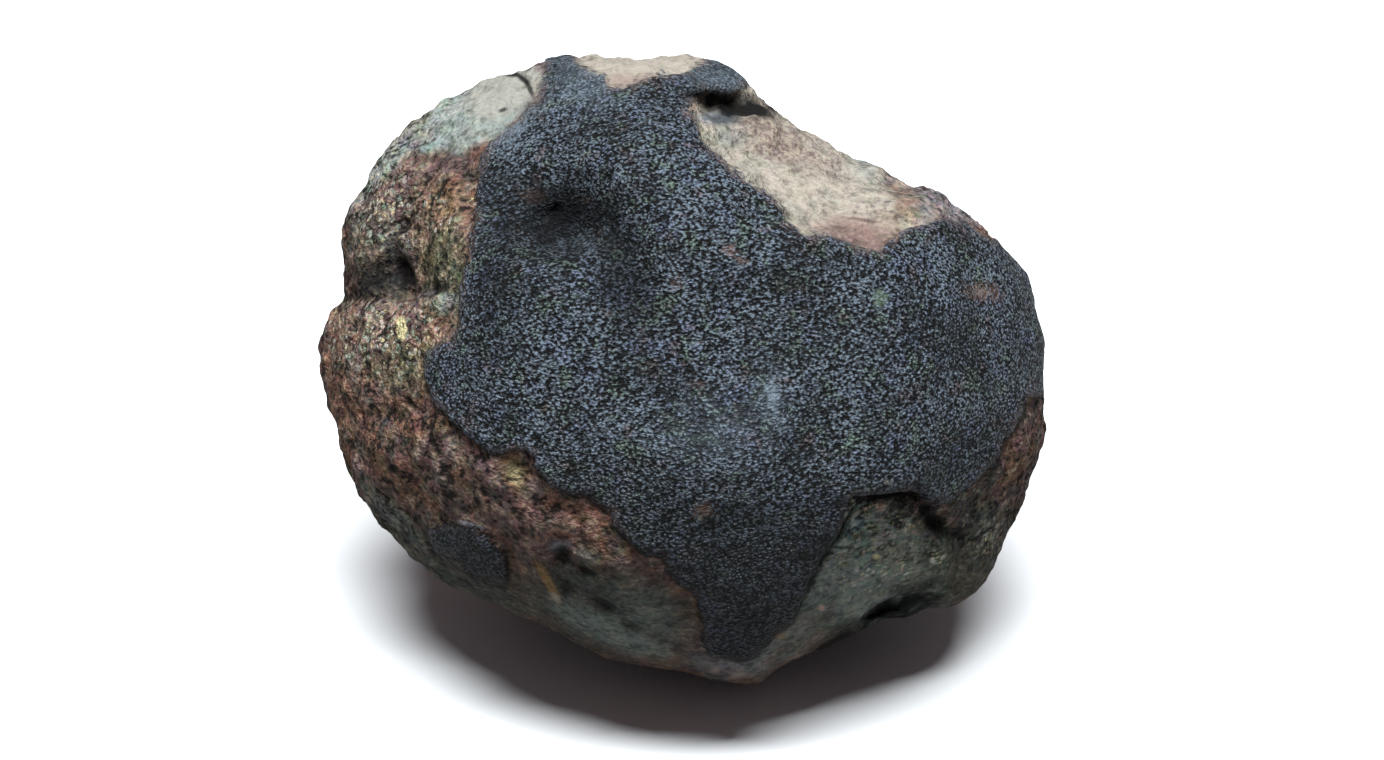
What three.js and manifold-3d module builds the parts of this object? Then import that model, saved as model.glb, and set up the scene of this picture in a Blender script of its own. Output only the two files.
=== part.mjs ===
// A hand-sized meteorite: a broken stone with a black melted crust left on parts of it.
// Millimetres, +Z up. The flat rest face lies on z = 0.
import * as THREE from 'three';
import { mergeVertices } from 'three/addons/utils/BufferGeometryUtils.js';
import Module from 'manifold-3d';

// How finely the stone is faceted.
const BODY_DETAIL = 17;
const BACK_SMOOTHING_DEG = 28;

// The front view, in which the outlines below were laid out: it looks along +Y and down.
const EYE_LIFT_DEG = 32.5;
const EYE_DISTANCE = 371;

// Where the middle of the front view lies in the part.
const MIDDLE_X = 1.5;
const MIDDLE_Y = -1.35;
const REST_HEIGHT = 38.5;

// Reach of the stone from its middle towards the eye and away from it.
const FRONT_REACH = 38;
const BACK_REACH = 39;
const BODY_ROUNDNESS = 2.35;
const FACET_SHARPNESS = 14;

// How far the broken surface lies below the crust.
const CRUST_LEDGE = 0.9;
const LEAST_LEDGE = 0.25;

// Outline of the stone in the front view, clockwise from the top, as [right, up].
const RIM = [
  [-25.2, 42.3], [-22.8, 43.5], [-19.1, 44.4], [-15.8, 44.4], [-12.1, 44.8], [-9.2, 44.1],
  [-6.9, 43.8], [-4.7, 44.2], [0.1, 44.5], [4.8, 43.1], [6.9, 41.5], [8.1, 39.8],
  [10.4, 38.6], [11.8, 37.1], [14.0, 35.0], [18.4, 33.2], [22.8, 30.5], [25.8, 29.1],
  [29.3, 26.6], [32.7, 26.4], [35.7, 24.7], [40.2, 20.7], [43.4, 17.0], [45.3, 15.1],
  [46.4, 12.6], [47.0, 9.2], [47.8, 6.5], [48.4, 3.4], [47.9, 2.3], [48.5, -2.2],
  [48.2, -3.6], [49.0, -4.1], [48.2, -8.4], [46.4, -15.0], [44.0, -20.1], [41.5, -26.2],
  [39.4, -29.7], [34.9, -31.7], [32.8, -31.9], [31.5, -33.7], [25.8, -34.3], [23.6, -34.8],
  [19.6, -37.1], [16.1, -38.2], [12.8, -38.7], [11.0, -40.1], [9.8, -41.9], [8.0, -42.2],
  [3.3, -41.6], [-0.1, -40.1], [-7.1, -39.4], [-11.4, -38.5], [-12.9, -37.6], [-14.8, -37.0],
  [-18.0, -34.8], [-23.1, -33.0], [-25.9, -31.3], [-29.9, -29.9], [-34.5, -27.9], [-38.9, -24.3],
  [-40.9, -22.0], [-43.7, -19.4], [-45.2, -15.9], [-46.6, -15.0], [-48.1, -10.9], [-49.4, -6.3],
  [-50.9, -2.6], [-51.7, 1.9], [-50.9, 7.1], [-49.5, 10.4], [-48.7, 11.5], [-49.2, 13.0],
  [-48.4, 15.1], [-48.5, 18.8], [-48.3, 23.6], [-45.7, 26.1], [-44.8, 28.2], [-42.9, 31.7],
  [-38.2, 36.3], [-35.1, 38.0], [-34.0, 39.3], [-31.9, 39.4], [-27.2, 42.0],
];

// Worn facets, as a direction [right, up, towards the eye] and the reach along it.
const FACETS = [
  { way: [0.06, 0.10, 1.0], reach: 35.5 },
  { way: [0.02, -0.62, 0.78], reach: 39.2 },
  { way: [-0.62, -0.55, 0.56], reach: 42.5 },
  { way: [-0.80, 0.15, 0.58], reach: 42.0 },
  { way: [-0.50, 0.62, 0.60], reach: 41.0 },
  { way: [0.30, 0.72, 0.63], reach: 39.0 },
  { way: [0.74, 0.16, 0.65], reach: 42.6 },
  { way: [0.58, -0.58, 0.57], reach: 41.0 },
  { way: [0.10, 0.35, -0.93], reach: 36.0 },
  { way: [-0.65, 0.40, -0.65], reach: 40.5 },
  { way: [0.70, 0.30, -0.65], reach: 41.0 },
  { way: [0.45, -0.45, -0.77], reach: 39.5 },
  { way: [-0.60, -0.30, -0.74], reach: 40.0 },
];

// Lumps (+) and hollows (-) of the whole front, at [right, up], with half widths and a turn.
const FRONT_LUMPS = [
  { at: [-18.6, 23.8], half: [7.6, 5.8], turn: 0, rise: -4.4 },
  { at: [-19.2, 24.0], half: [3.2, 2.4], turn: 10, rise: -1.6 },
  { at: [-8.5, 16.0], half: [5.0, 11.0], turn: 22, rise: -1.5 },
  { at: [-17.0, 11.5], half: [9.0, 4.5], turn: -8, rise: 0.9 },
  { at: [2.5, -10.5], half: [11.0, 7.5], turn: 0, rise: 1.9 },
  { at: [14.0, 9.0], half: [12.0, 6.0], turn: 30, rise: -0.7 },
  { at: [31.0, 6.0], half: [8.0, 8.0], turn: 0, rise: 0.3 },
  { at: [-28.0, 40.0], half: [5.0, 3.6], turn: 25, rise: 1.3 },
  { at: [-8.0, 42.0], half: [6.5, 2.6], turn: 0, rise: 1.0 },
  { at: [-40.5, 14.8], half: [3.6, 4.2], turn: -25, rise: -2.4 },
  { at: [-40.2, 21.4], half: [2.4, 3.2], turn: 0, rise: -1.4 },
  { at: [-44.0, 19.0], half: [2.4, 4.0], turn: 10, rise: 0.7 },
  { at: [-34.0, 19.5], half: [3.2, 6.0], turn: 10, rise: 1.0 },
  { at: [-44.5, 7.5], half: [3.5, 4.5], turn: 0, rise: 0.9 },
  { at: [-38.0, -8.0], half: [6.0, 6.0], turn: 0, rise: 1.0 },
  { at: [-30.0, -21.0], half: [7.0, 3.0], turn: -28, rise: -0.8 },
  { at: [-14.0, -27.0], half: [8.0, 5.0], turn: -20, rise: 0.9 },
  { at: [33.5, -20.0], half: [5.5, 4.0], turn: -30, rise: 1.3 },
  { at: [33.0, 24.0], half: [4.0, 2.4], turn: -20, rise: 1.0 },
  { at: [30.0, -29.0], half: [6.0, 2.2], turn: 12, rise: -1.2 },
];

// The same for the back, guessed: shallow thumb marks and a few swellings.
const BACK_LUMPS = [
  { at: [12.0, 12.0], half: [11.0, 8.0], turn: 20, rise: -2.6 },
  { at: [-12.0, 17.0], half: [9.0, 9.0], turn: 0, rise: -2.0 },
  { at: [32.0, 4.0], half: [8.0, 10.0], turn: -15, rise: -1.9 },
  { at: [-2.0, -6.0], half: [12.0, 7.0], turn: -25, rise: 1.6 },
  { at: [-24.0, 1.0], half: [8.0, 7.0], turn: 10, rise: -1.7 },
  { at: [0.0, 31.0], half: [10.0, 5.0], turn: 0, rise: 1.4 },
  { at: [24.0, -27.0], half: [8.0, 6.0], turn: 30, rise: -1.6 },
  { at: [-38.0, 10.0], half: [6.0, 9.0], turn: 0, rise: 1.2 },
  { at: [40.0, -14.0], half: [6.0, 7.0], turn: 0, rise: 1.1 },
  { at: [-33.0, -17.0], half: [7.0, 5.0], turn: -30, rise: -1.3 },
];

// Places where the broken surface lies deeper still, in the same terms.
const BROKEN_HOLLOWS = [
  { at: [15.5, 28.5], half: [12.0, 5.5], turn: -34, rise: -3.6 },
  { at: [7.0, 35.0], half: [4.5, 3.0], turn: -25, rise: -1.4 },
  { at: [24.0, 23.5], half: [5.0, 3.2], turn: -10, rise: -1.2 },
  { at: [24.5, -19.5], half: [6.5, 5.0], turn: 0, rise: -1.8 },
  { at: [19.5, -27.0], half: [6.0, 8.0], turn: -28, rise: -1.3 },
  { at: [35.0, -19.0], half: [6.0, 3.0], turn: -35, rise: -0.9 },
];

// Crust left on the front: the large patch, counter-clockwise from the top left, as [right, up].
const LARGE_CRUST = [
  [-20.1, 43.7], [-20.2, 42.4], [-20.9, 39.7], [-21.2, 38.0], [-22.8, 36.4], [-25.1, 34.5],
  [-27.7, 32.4], [-29.0, 30.8], [-29.5, 23.5], [-30.6, 16.8], [-31.5, 14.8], [-32.1, 6.9],
  [-33.1, 5.1], [-36.4, 3.8], [-36.5, -0.3], [-35.4, -3.3], [-30.5, -8.0], [-25.8, -10.0],
  [-22.8, -9.6], [-21.2, -12.5], [-19.5, -14.8], [-14.8, -15.9], [-11.1, -17.6], [-10.4, -20.2],
  [-6.2, -23.9], [-4.1, -23.9], [-1.5, -28.2], [1.1, -30.4], [1.8, -35.7], [2.3, -37.4],
  [4.1, -38.0], [7.6, -38.9], [11.8, -34.5], [14.4, -32.6], [16.6, -27.3], [20.2, -20.6],
  [20.9, -18.3], [22.5, -15.8], [29.9, -15.1], [33.4, -16.8], [35.6, -16.8], [39.7, -12.9],
  [42.6, -9.1], [45.7, -3.4], [52.6, -1.6], [54.0, 13.7], [48.5, 23.5], [44.0, 22.3],
  [41.3, 19.1], [37.6, 21.4], [34.3, 21.8], [29.9, 20.5], [26.6, 19.1], [26.0, 17.7],
  [22.3, 18.4], [15.7, 20.1], [13.0, 21.4], [12.4, 23.4], [10.0, 26.1], [4.0, 30.4],
  [1.6, 33.1], [-0.7, 37.4], [-0.3, 38.9], [1.8, 39.8], [5.5, 39.7], [6.9, 40.1],
  [10.0, 43.3], [7.3, 47.4], [1.1, 47.4], [1.6, 43.5], [-1.8, 41.8], [-7.1, 41.3],
  [-9.5, 40.1], [-11.5, 40.4], [-12.1, 41.9], [-14.4, 42.6], [-16.1, 44.0], [-16.3, 46.7],
  [-19.8, 46.7],
];

// The small patch low on the left.
const SMALL_CRUST = [
  [-36.1, -20.6], [-32.3, -19.9], [-29.7, -20.3], [-26.8, -23.2], [-25.5, -27.1], [-25.7, -28.3],
  [-28.8, -27.2], [-30.4, -26.4], [-31.7, -24.6], [-35.4, -23.5],
];

// Crust left on the back, as [right, up] of the same view.
const BACK_CRUST = [
  [54.0, 13.7], [48.5, 23.5], [43.0, 21.5], [36.5, 23.0], [31.5, 18.0], [26.5, 20.5],
  [22.0, 25.5], [17.5, 24.0], [13.5, 29.5], [10.0, 34.0], [11.5, 39.0], [10.0, 43.3],
  [7.3, 47.4], [1.1, 47.4], [0.0, 43.2], [-5.5, 41.6], [-9.0, 42.6], [-12.0, 41.8],
  [-16.3, 46.7], [-19.8, 46.7], [-21.5, 38.0],
  [-27.0, 31.5], [-33.5, 24.0], [-36.0, 13.0], [-31.5, 4.5], [-34.0, -6.0], [-26.5, -14.5],
  [-14.0, -12.5], [-5.0, -18.5], [7.5, -16.0], [16.0, -21.0], [25.5, -16.5], [31.0, -20.0],
  [38.0, -13.5], [44.5, -10.0], [47.0, -3.5], [52.6, -1.6],
];

// Layers between which each crust patch reaches, measured towards the eye.
const FRONT_CRUST_REACH = [-9, 60];
const BACK_CRUST_REACH = [-60, -8];

// Openings cut into the stone: place in the front view, half sizes, turn, and how deep the middle lies.
const CUTS = [
  { at: [3.6, 38.3], half: [3.4, 1.5, 3.4], turn: -6, sink: 0.6 },
  { at: [7.9, 37.2], half: [2.6, 0.9, 2.2], turn: -16, sink: 0.3 },
  { at: [8.1, 38.4], half: [0.9, 0.8, 1.4], turn: 0, sink: 0.2 },
  { at: [-19.3, 23.3], half: [1.3, 0.8, 1.8], turn: 8, sink: 0.2 },
  { at: [31.2, -16.4], half: [3.4, 0.9, 2.6], turn: -42, sink: 0.5 },
  { at: [35.4, -20.4], half: [2.8, 1.0, 2.4], turn: -24, sink: 0.4 },
  { at: [-23.6, 40.6], half: [3.0, 0.8, 3.0], turn: -42, sink: 0.4 },
  { at: [-39.3, -3.2], half: [1.6, 0.7, 1.5], turn: -48, sink: 0.1 },
  { at: [-42.2, 11.9], half: [4.2, 0.9, 1.6], turn: -4, sink: 0.3 },
  { at: [28.0, -32.2], half: [4.8, 1.2, 3.4], turn: 8, sink: 0.6 },
];
const CUT_SEGMENTS = 10;

const STONE_COLOUR = 0x4a463d;

const rad = THREE.MathUtils.degToRad;
const viewUp = new THREE.Vector3(0, Math.sin(rad(EYE_LIFT_DEG)), Math.cos(rad(EYE_LIFT_DEG)));
const towardsEye = new THREE.Vector3(0, -Math.cos(rad(EYE_LIFT_DEG)), Math.sin(rad(EYE_LIFT_DEG)));
const rightward = new THREE.Vector3(1, 0, 0);

// Turns [right, up, towards the eye] about the middle into the part's own axes.
const viewToPart = new THREE.Matrix4()
  .makeBasis(rightward, viewUp, towardsEye)
  .setPosition(MIDDLE_X, MIDDLE_Y, REST_HEIGHT);

// Distance from the middle to the outline in one direction of the front view.
function rimReach(angle) {
  const dx = Math.cos(angle);
  const dy = Math.sin(angle);
  let reach = 0;
  for (let i = 0; i < RIM.length; i += 1) {
    const [ax, ay] = RIM[i];
    const [bx, by] = RIM[(i + 1) % RIM.length];
    const ex = bx - ax;
    const ey = by - ay;
    const cross = dx * ey - dy * ex;
    if (Math.abs(cross) > 1e-9) {
      const along = (ax * ey - ay * ex) / cross;
      const share = (ax * dy - ay * dx) / cross;
      if (along > 0 && share >= 0 && share <= 1) reach = Math.max(reach, along);
    }
  }
  return reach;
}

// The same distance with the small notches smoothed away.
function smoothReach(angle) {
  let sum = 0;
  let weight = 0;
  for (let step = -4; step <= 4; step += 1) {
    const share = Math.exp(-(step * step) / 8);
    sum += share * rimReach(angle + rad((BACK_SMOOTHING_DEG * step) / 8));
    weight += share;
  }
  return sum / weight;
}

// Height of one lump at a place of the front view: 1 in its middle, fading to 0.
function lumpShare(lump, right, up) {
  const turn = rad(lump.turn);
  const dx = right - lump.at[0];
  const dy = up - lump.at[1];
  const a = (dx * Math.cos(turn) + dy * Math.sin(turn)) / lump.half[0];
  const b = (dy * Math.cos(turn) - dx * Math.sin(turn)) / lump.half[1];
  return Math.exp(-(a * a + b * b));
}

function sumOfLumps(lumps, right, up) {
  return lumps.reduce((sum, lump) => sum + lump.rise * lumpShare(lump, right, up), 0);
}

// Low waves that keep the unlisted sides from looking turned on a lathe.
function waves(way) {
  const a = Math.sin(7.1 * way.x + 2.3 * way.y - 3.9 * way.z + 0.6);
  const b = Math.sin(-4.3 * way.x + 8.2 * way.y + 5.1 * way.z + 2.1);
  const c = Math.sin(9.7 * way.x - 6.4 * way.y + 10.9 * way.z + 4.0);
  return a * b + 0.55 * c * a + 0.45 * b * c;
}

function clampedRamp(value, low, high) {
  const share = Math.min(Math.max((value - low) / (high - low), 0), 1);
  return share * share * (3 - 2 * share);
}

// Distance from the middle to the rounded, faceted body for a given reach of its outline.
function facetedReach(way, rim) {
  const flat = Math.hypot(way.x, way.y);
  const deep = way.z > 0 ? FRONT_REACH : BACK_REACH;
  const round = ((flat / rim) ** BODY_ROUNDNESS + (Math.abs(way.z) / deep) ** BODY_ROUNDNESS)
    ** (1 / BODY_ROUNDNESS);
  let sum = round ** FACET_SHARPNESS;
  for (const facet of FACETS) {
    const normal = new THREE.Vector3(...facet.way).normalize();
    const share = Math.max(normal.dot(way), 0) / facet.reach;
    sum += share ** FACET_SHARPNESS;
  }
  return sum ** (-1 / FACET_SHARPNESS);
}

// Distance from the middle to the crusted surface in one direction of the view's axes.
function crustedReach(way) {
  const angle = Math.atan2(way.y, way.x);
  const nearRim = Math.exp(-((way.z / 0.3) ** 2));
  const rim = rimReach(angle) * nearRim + smoothReach(angle) * (1 - nearRim);
  const inRimPlane = new THREE.Vector3(Math.cos(angle), Math.sin(angle), 0);
  const rimLoss = rim / facetedReach(inRimPlane, rim);
  const reach = facetedReach(way, rim) * rimLoss ** (1 - Math.abs(way.z));
  const scale = EYE_DISTANCE / (EYE_DISTANCE - way.z * reach);
  const front = clampedRamp(way.z, 0.02, 0.3);
  const back = clampedRamp(-way.z, 0.05, 0.4);
  return reach
    + front * sumOfLumps(FRONT_LUMPS, way.x * reach * scale, way.y * reach * scale)
    + back * sumOfLumps(BACK_LUMPS, way.x * reach * scale, way.y * reach * scale)
    + (0.35 + 0.25 * back) * waves(way) * (1 - nearRim * 0.8);
}

// How far the broken surface lies below the crusted one in the same direction.
function ledgeDepth(way, reach) {
  const scale = EYE_DISTANCE / (EYE_DISTANCE - way.z * reach);
  const offRim = clampedRamp(Math.abs(way.z), 0.05, 0.35);
  const front = clampedRamp(way.z, 0.08, 0.35);
  const hollow = -sumOfLumps(BROKEN_HOLLOWS, way.x * reach * scale, way.y * reach * scale);
  return LEAST_LEDGE + (CRUST_LEDGE - LEAST_LEDGE) * offRim + front * hollow;
}

// One closed body whose corners lie at the given distance from the middle.
function bodyAt(wasm, reachOf) {
  const sphere = new THREE.IcosahedronGeometry(1, BODY_DETAIL);
  sphere.deleteAttribute('normal');
  sphere.deleteAttribute('uv');
  const geometry = mergeVertices(sphere, 1e-5);
  const corners = geometry.getAttribute('position');
  const way = new THREE.Vector3();
  for (let i = 0; i < corners.count; i += 1) {
    way.fromBufferAttribute(corners, i).normalize();
    const reach = reachOf(way);
    corners.setXYZ(i, way.x * reach, way.y * reach, way.z * reach);
  }
  return new wasm.Manifold(new wasm.Mesh({
    numProp: 3,
    vertProperties: new Float32Array(corners.array),
    triVerts: new Uint32Array(geometry.index.array),
  }));
}

// A block of the outline's shape that narrows towards the eye, so that it covers what the eye sees.
function blockSeenThrough(wasm, outline, [far, near]) {
  const farScale = (EYE_DISTANCE - far) / EYE_DISTANCE;
  const nearScale = (EYE_DISTANCE - near) / EYE_DISTANCE;
  const scaled = outline.map(([right, up]) => [right * farScale, up * farScale]);
  return new wasm.CrossSection([scaled], 'NonZero')
    .extrude(near - far, 0, 0, [nearScale / farScale, nearScale / farScale])
    .translate([0, 0, far]);
}

// The point of the crusted front that the eye sees at a place of the front view.
function seenPoint([right, up]) {
  const point = new THREE.Vector3();
  let low = 0;
  let high = FRONT_REACH + 8;
  for (let step = 0; step < 24; step += 1) {
    const middle = (low + high) / 2;
    const scale = (EYE_DISTANCE - middle) / EYE_DISTANCE;
    point.set(right * scale, up * scale, middle);
    const outside = point.length() > crustedReach(point.clone().normalize());
    if (outside) high = middle;
    else low = middle;
  }
  return point;
}

function cutter(wasm, cut) {
  const point = seenPoint(cut.at);
  return wasm.Manifold.sphere(1, CUT_SEGMENTS)
    .scale(cut.half)
    .rotate([0, 0, cut.turn])
    .translate([point.x, point.y, point.z - cut.sink]);
}

// The base below the rest face, in the view's axes.
function belowRest(wasm) {
  const size = 300;
  return wasm.Manifold.cube([size, size, size], true)
    .translate([0, 0, -size / 2 - REST_HEIGHT])
    .rotate([EYE_LIFT_DEG - 90, 0, 0]);
}

function geometryOf(manifold) {
  const mesh = manifold.getMesh();
  const geometry = new THREE.BufferGeometry();
  geometry.setAttribute('position', new THREE.BufferAttribute(new Float32Array(mesh.vertProperties), 3));
  geometry.setIndex(Array.from(mesh.triVerts));
  geometry.applyMatrix4(viewToPart);
  geometry.computeVertexNormals();
  return geometry;
}

const wasm = await Module();
wasm.setup();

const crusted = bodyAt(wasm, crustedReach);
const broken = bodyAt(wasm, (way) => {
  const reach = crustedReach(way);
  return reach - ledgeDepth(way, reach);
});
const patches = blockSeenThrough(wasm, LARGE_CRUST, FRONT_CRUST_REACH)
  .add(blockSeenThrough(wasm, SMALL_CRUST, FRONT_CRUST_REACH))
  .add(blockSeenThrough(wasm, BACK_CRUST, BACK_CRUST_REACH));

let solid = broken.add(crusted.intersect(patches));
for (const cut of CUTS) solid = solid.subtract(cutter(wasm, cut));
solid = solid.subtract(belowRest(wasm));

const material = new THREE.MeshStandardMaterial({ color: STONE_COLOUR, roughness: 0.85, metalness: 0 });
material.name = 'stone';
const stone = new THREE.Mesh(geometryOf(solid), material);
stone.name = 'stone';

const meteorite = new THREE.Group();
meteorite.name = 'meteorite';
meteorite.add(stone);

export default meteorite;
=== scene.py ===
import math
from types import SimpleNamespace

import bpy
import numpy as np
from mathutils import Matrix, Vector, noise


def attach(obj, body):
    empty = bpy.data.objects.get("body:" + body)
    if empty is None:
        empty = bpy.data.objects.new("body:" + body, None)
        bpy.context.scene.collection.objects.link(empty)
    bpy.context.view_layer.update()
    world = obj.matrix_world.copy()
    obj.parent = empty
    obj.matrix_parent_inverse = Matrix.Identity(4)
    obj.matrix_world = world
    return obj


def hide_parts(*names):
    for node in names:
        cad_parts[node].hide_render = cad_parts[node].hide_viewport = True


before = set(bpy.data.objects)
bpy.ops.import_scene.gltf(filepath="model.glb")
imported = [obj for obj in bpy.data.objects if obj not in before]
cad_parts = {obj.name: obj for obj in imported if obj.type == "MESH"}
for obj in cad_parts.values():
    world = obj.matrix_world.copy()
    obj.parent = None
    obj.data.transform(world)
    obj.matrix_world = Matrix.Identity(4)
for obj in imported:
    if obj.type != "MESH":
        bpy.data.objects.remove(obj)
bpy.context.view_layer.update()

bl_info = {
    "name": "Meteorite with Broken Crust",
    "version": (1, 0, 0),
    "blender": (4, 5, 0),
    "location": "3D View > Sidebar > Meteorite",
    "description": "Builds a hand-sized meteorite with a broken black crust, and a plain stage for it",
    "category": "Object",
}

STONE_NODE = "stone"
PIECE = "stone_surface"
MM = 0.001

# The view that the outlines were laid out in, the same as in the part's source, in degrees and mm.
VIEW_LIFT = 32.5
VIEW_DISTANCE = 371.0
VIEW_MIDDLE = (1.5, -1.35, 38.5)
BACK_STARTS = -8.5
CAMERA_LENS = 70.0
SENSOR_WIDTH = 36.0
CAMERA_CLIPS = (0.01, 20.0)

# The stage, in metres.
FLOOR_SIZE = 2.4
FLOOR_ROUGHNESS = 0.9
LAMP_PLACE = (0.0, -0.31, 2.0)
LAMP_SIZE = (1.5, 0.55)
LAMP_AIM = (0.0, 0.0, 0.03)
LAMP_COLOUR = (0.93, 0.98, 1.0)

# How the stone's mesh is made, in mm: corners nearer than this are one, the relief starts this far
# above the rest face and is full after the next distance, and the crust's edge is this wide.
MERGE_GAP = 0.002
RELIEF_STARTS = 0.2
RELIEF_FADE = 1.2
EDGE_WIDTH = 0.5

# A hollow ends at this many of its half sizes, and weights are set in this many steps.
HOLLOW_RIM = 1.4
WEIGHT_STEPS = 20

# The low part of the broken stone is smoother: its share of the relief, and where, as [up] in mm,
# the share starts to grow and how soon it is full.
LOW_RELIEF = 0.4
LOW_RELIEF_TOP = -30.0
LOW_RELIEF_FADE = 18.0

# The relief's layers: setting that holds the height, lump size in mm, noise depth, where it lies.
RELIEF_LAYERS = (
    ("broken_swell", 6.0, 1, "broken_relief"),
    ("broken_rough", 2.2, 2, "broken_relief"),
    ("crust_swell", 7.5, 2, "crust_relief"),
    ("crust_crinkle", 1.6, 1, "crust_relief"),
)

# Layers of wandering noise: share, lump size in mm and seed of each.
EDGE_WANDER = ((0.45, 2.2, 11.0), (0.25, 1.0, 5.0))
MARK_WANDER = ((0.5, 2.4, 31.0), (0.35, 1.0, 17.0))
REGION_WANDER = ((0.55, 3.4, 3.0), (0.35, 1.5, 9.0), (0.2, 0.8, 1.0))
REGION_RAGGEDNESS = 0.45

# How the two surfaces take the light. The crust lies a step above the broken stone in the bump.
BROKEN_ROUGHNESS = 0.86
SPECULAR_LEVEL = 0.22
CRUST_BUMP = 0.65
CRUST_STEP = 0.25
FURROW_SLANT = 28.0

# Crust left on the front, as [right, up] in millimetres, counter-clockwise from the top left.
LARGE_CRUST = [
    (-20.1, 43.7), (-20.2, 42.4), (-20.9, 39.7), (-21.2, 38.0), (-22.8, 36.4), (-25.1, 34.5),
    (-27.7, 32.4), (-29.0, 30.8), (-29.3, 27.5), (-29.5, 23.5), (-30.4, 20.5), (-30.6, 16.8),
    (-31.5, 14.8), (-32.0, 11.4), (-32.1, 6.9), (-33.1, 5.1), (-36.4, 3.8), (-36.5, -0.3),
    (-35.4, -3.3), (-32.4, -5.6), (-30.5, -8.0), (-27.7, -9.6), (-25.8, -10.0), (-22.8, -9.6),
    (-21.8, -10.6), (-21.2, -12.5), (-19.5, -14.8), (-17.2, -15.7), (-14.8, -15.9), (-13.2, -17.2),
    (-11.1, -17.6), (-10.4, -20.2), (-8.1, -22.5), (-6.2, -23.9), (-4.1, -23.9), (-3.2, -25.8),
    (-1.5, -28.2), (0.1, -29.0), (1.1, -30.4), (1.2, -31.7), (1.5, -33.7), (1.8, -35.7),
    (2.3, -37.4), (4.1, -38.0), (5.8, -38.5), (7.6, -38.9), (8.2, -38.2), (9.3, -37.1),
    (10.6, -35.6), (11.8, -34.5), (13.2, -33.7), (14.4, -32.6), (15.2, -30.1), (16.6, -27.3),
    (18.7, -23.8), (20.2, -20.6), (20.9, -18.3), (22.5, -15.8), (24.7, -15.9), (27.2, -15.8),
    (29.9, -15.1), (31.7, -15.8), (33.4, -16.8), (35.6, -16.8), (37.6, -15.1), (39.7, -12.9),
    (41.5, -11.3), (42.6, -9.1), (43.7, -7.7), (45.1, -5.2), (45.7, -3.4), (46.4, -2.5),
    (52.6, -1.6), (54.0, 13.7), (48.5, 23.5), (44.0, 22.3), (41.3, 19.1), (40.0, 19.8),
    (37.6, 21.4), (34.3, 21.8), (31.3, 21.4), (29.9, 20.5), (26.6, 19.1), (26.0, 17.7),
    (22.3, 18.4), (19.0, 19.8), (15.7, 20.1), (13.0, 21.4), (12.4, 23.4), (10.0, 26.1),
    (7.0, 27.7), (4.0, 30.4), (1.6, 33.1), (0.3, 35.4), (-0.7, 37.4), (-0.3, 38.9),
    (1.8, 39.8), (5.5, 39.7), (6.9, 40.1), (10.0, 43.3), (7.3, 47.4), (1.1, 47.4),
    (1.6, 43.5), (-0.1, 42.4), (-1.8, 41.8), (-4.5, 41.9), (-7.1, 41.3), (-9.5, 40.1),
    (-11.5, 40.4), (-12.1, 41.9), (-14.4, 42.6), (-16.1, 44.0), (-16.3, 46.7), (-19.8, 46.7),
]

# The small patch low on the left.
SMALL_CRUST = [
    (-36.1, -20.6), (-34.3, -19.9), (-32.3, -19.9), (-29.7, -20.3), (-28.2, -21.4), (-26.8, -23.2),
    (-25.7, -25.0), (-25.5, -27.1), (-25.7, -28.3), (-27.2, -27.6), (-28.8, -27.2), (-30.4, -26.4),
    (-31.7, -24.6), (-33.7, -24.2), (-35.4, -23.5), (-35.9, -22.1),
]

# Crust left on the back, as [right, up] of the same view.
BACK_CRUST = [
    (54.0, 13.7), (48.5, 23.5), (43.0, 21.5), (36.5, 23.0), (31.5, 18.0), (26.5, 20.5),
    (22.0, 25.5), (17.5, 24.0), (13.5, 29.5), (10.0, 34.0), (11.5, 39.0), (10.0, 43.3),
    (7.3, 47.4), (1.1, 47.4), (0.0, 43.2), (-5.5, 41.6), (-9.0, 42.6), (-12.0, 41.8),
    (-16.3, 46.7), (-19.8, 46.7), (-21.5, 38.0),
    (-27.0, 31.5), (-33.5, 24.0), (-36.0, 13.0), (-31.5, 4.5), (-34.0, -6.0), (-26.5, -14.5),
    (-14.0, -12.5), (-5.0, -18.5), (7.5, -16.0), (16.0, -21.0), (25.5, -16.5), (31.0, -20.0),
    (38.0, -13.5), (44.5, -10.0), (47.0, -3.5), (52.6, -1.6),
]


def view_axes():
    """The laying-out view's right, up and towards-the-eye directions in the part."""
    lift = math.radians(VIEW_LIFT)
    right = np.array((1.0, 0.0, 0.0))
    up = np.array((0.0, math.sin(lift), math.cos(lift)))
    near = np.array((0.0, -math.cos(lift), math.sin(lift)))
    return right, up, near


def laid_out(corners):
    """Each corner's place [right, up] in the laying-out view and its nearness to the eye, in mm."""
    right, up, near = view_axes()
    from_middle = corners / MM - np.array(VIEW_MIDDLE)
    nearness = from_middle @ near
    scale = VIEW_DISTANCE / (VIEW_DISTANCE - nearness)
    return (from_middle @ right) * scale, (from_middle @ up) * scale, nearness


def reach_inside(across, upward, outline):
    """How far each place lies inside an outline, in mm, below zero outside it."""
    nearest = np.full(len(across), 1e9)
    inside = np.zeros(len(across), bool)
    for (ax, ay), (bx, by) in zip(outline, outline[1:] + outline[:1]):
        ex, ey = bx - ax, by - ay
        along = np.clip(((across - ax) * ex + (upward - ay) * ey) / (ex * ex + ey * ey), 0, 1)
        gap = np.hypot(across - ax - along * ex, upward - ay - along * ey)
        nearest = np.minimum(nearest, gap)
        if ay != by:
            crosses = (ay > upward) != (by > upward)
            inside ^= crosses & (across < ex * (upward - ay) / ey + ax)
    return np.where(inside, nearest, -nearest)


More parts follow.
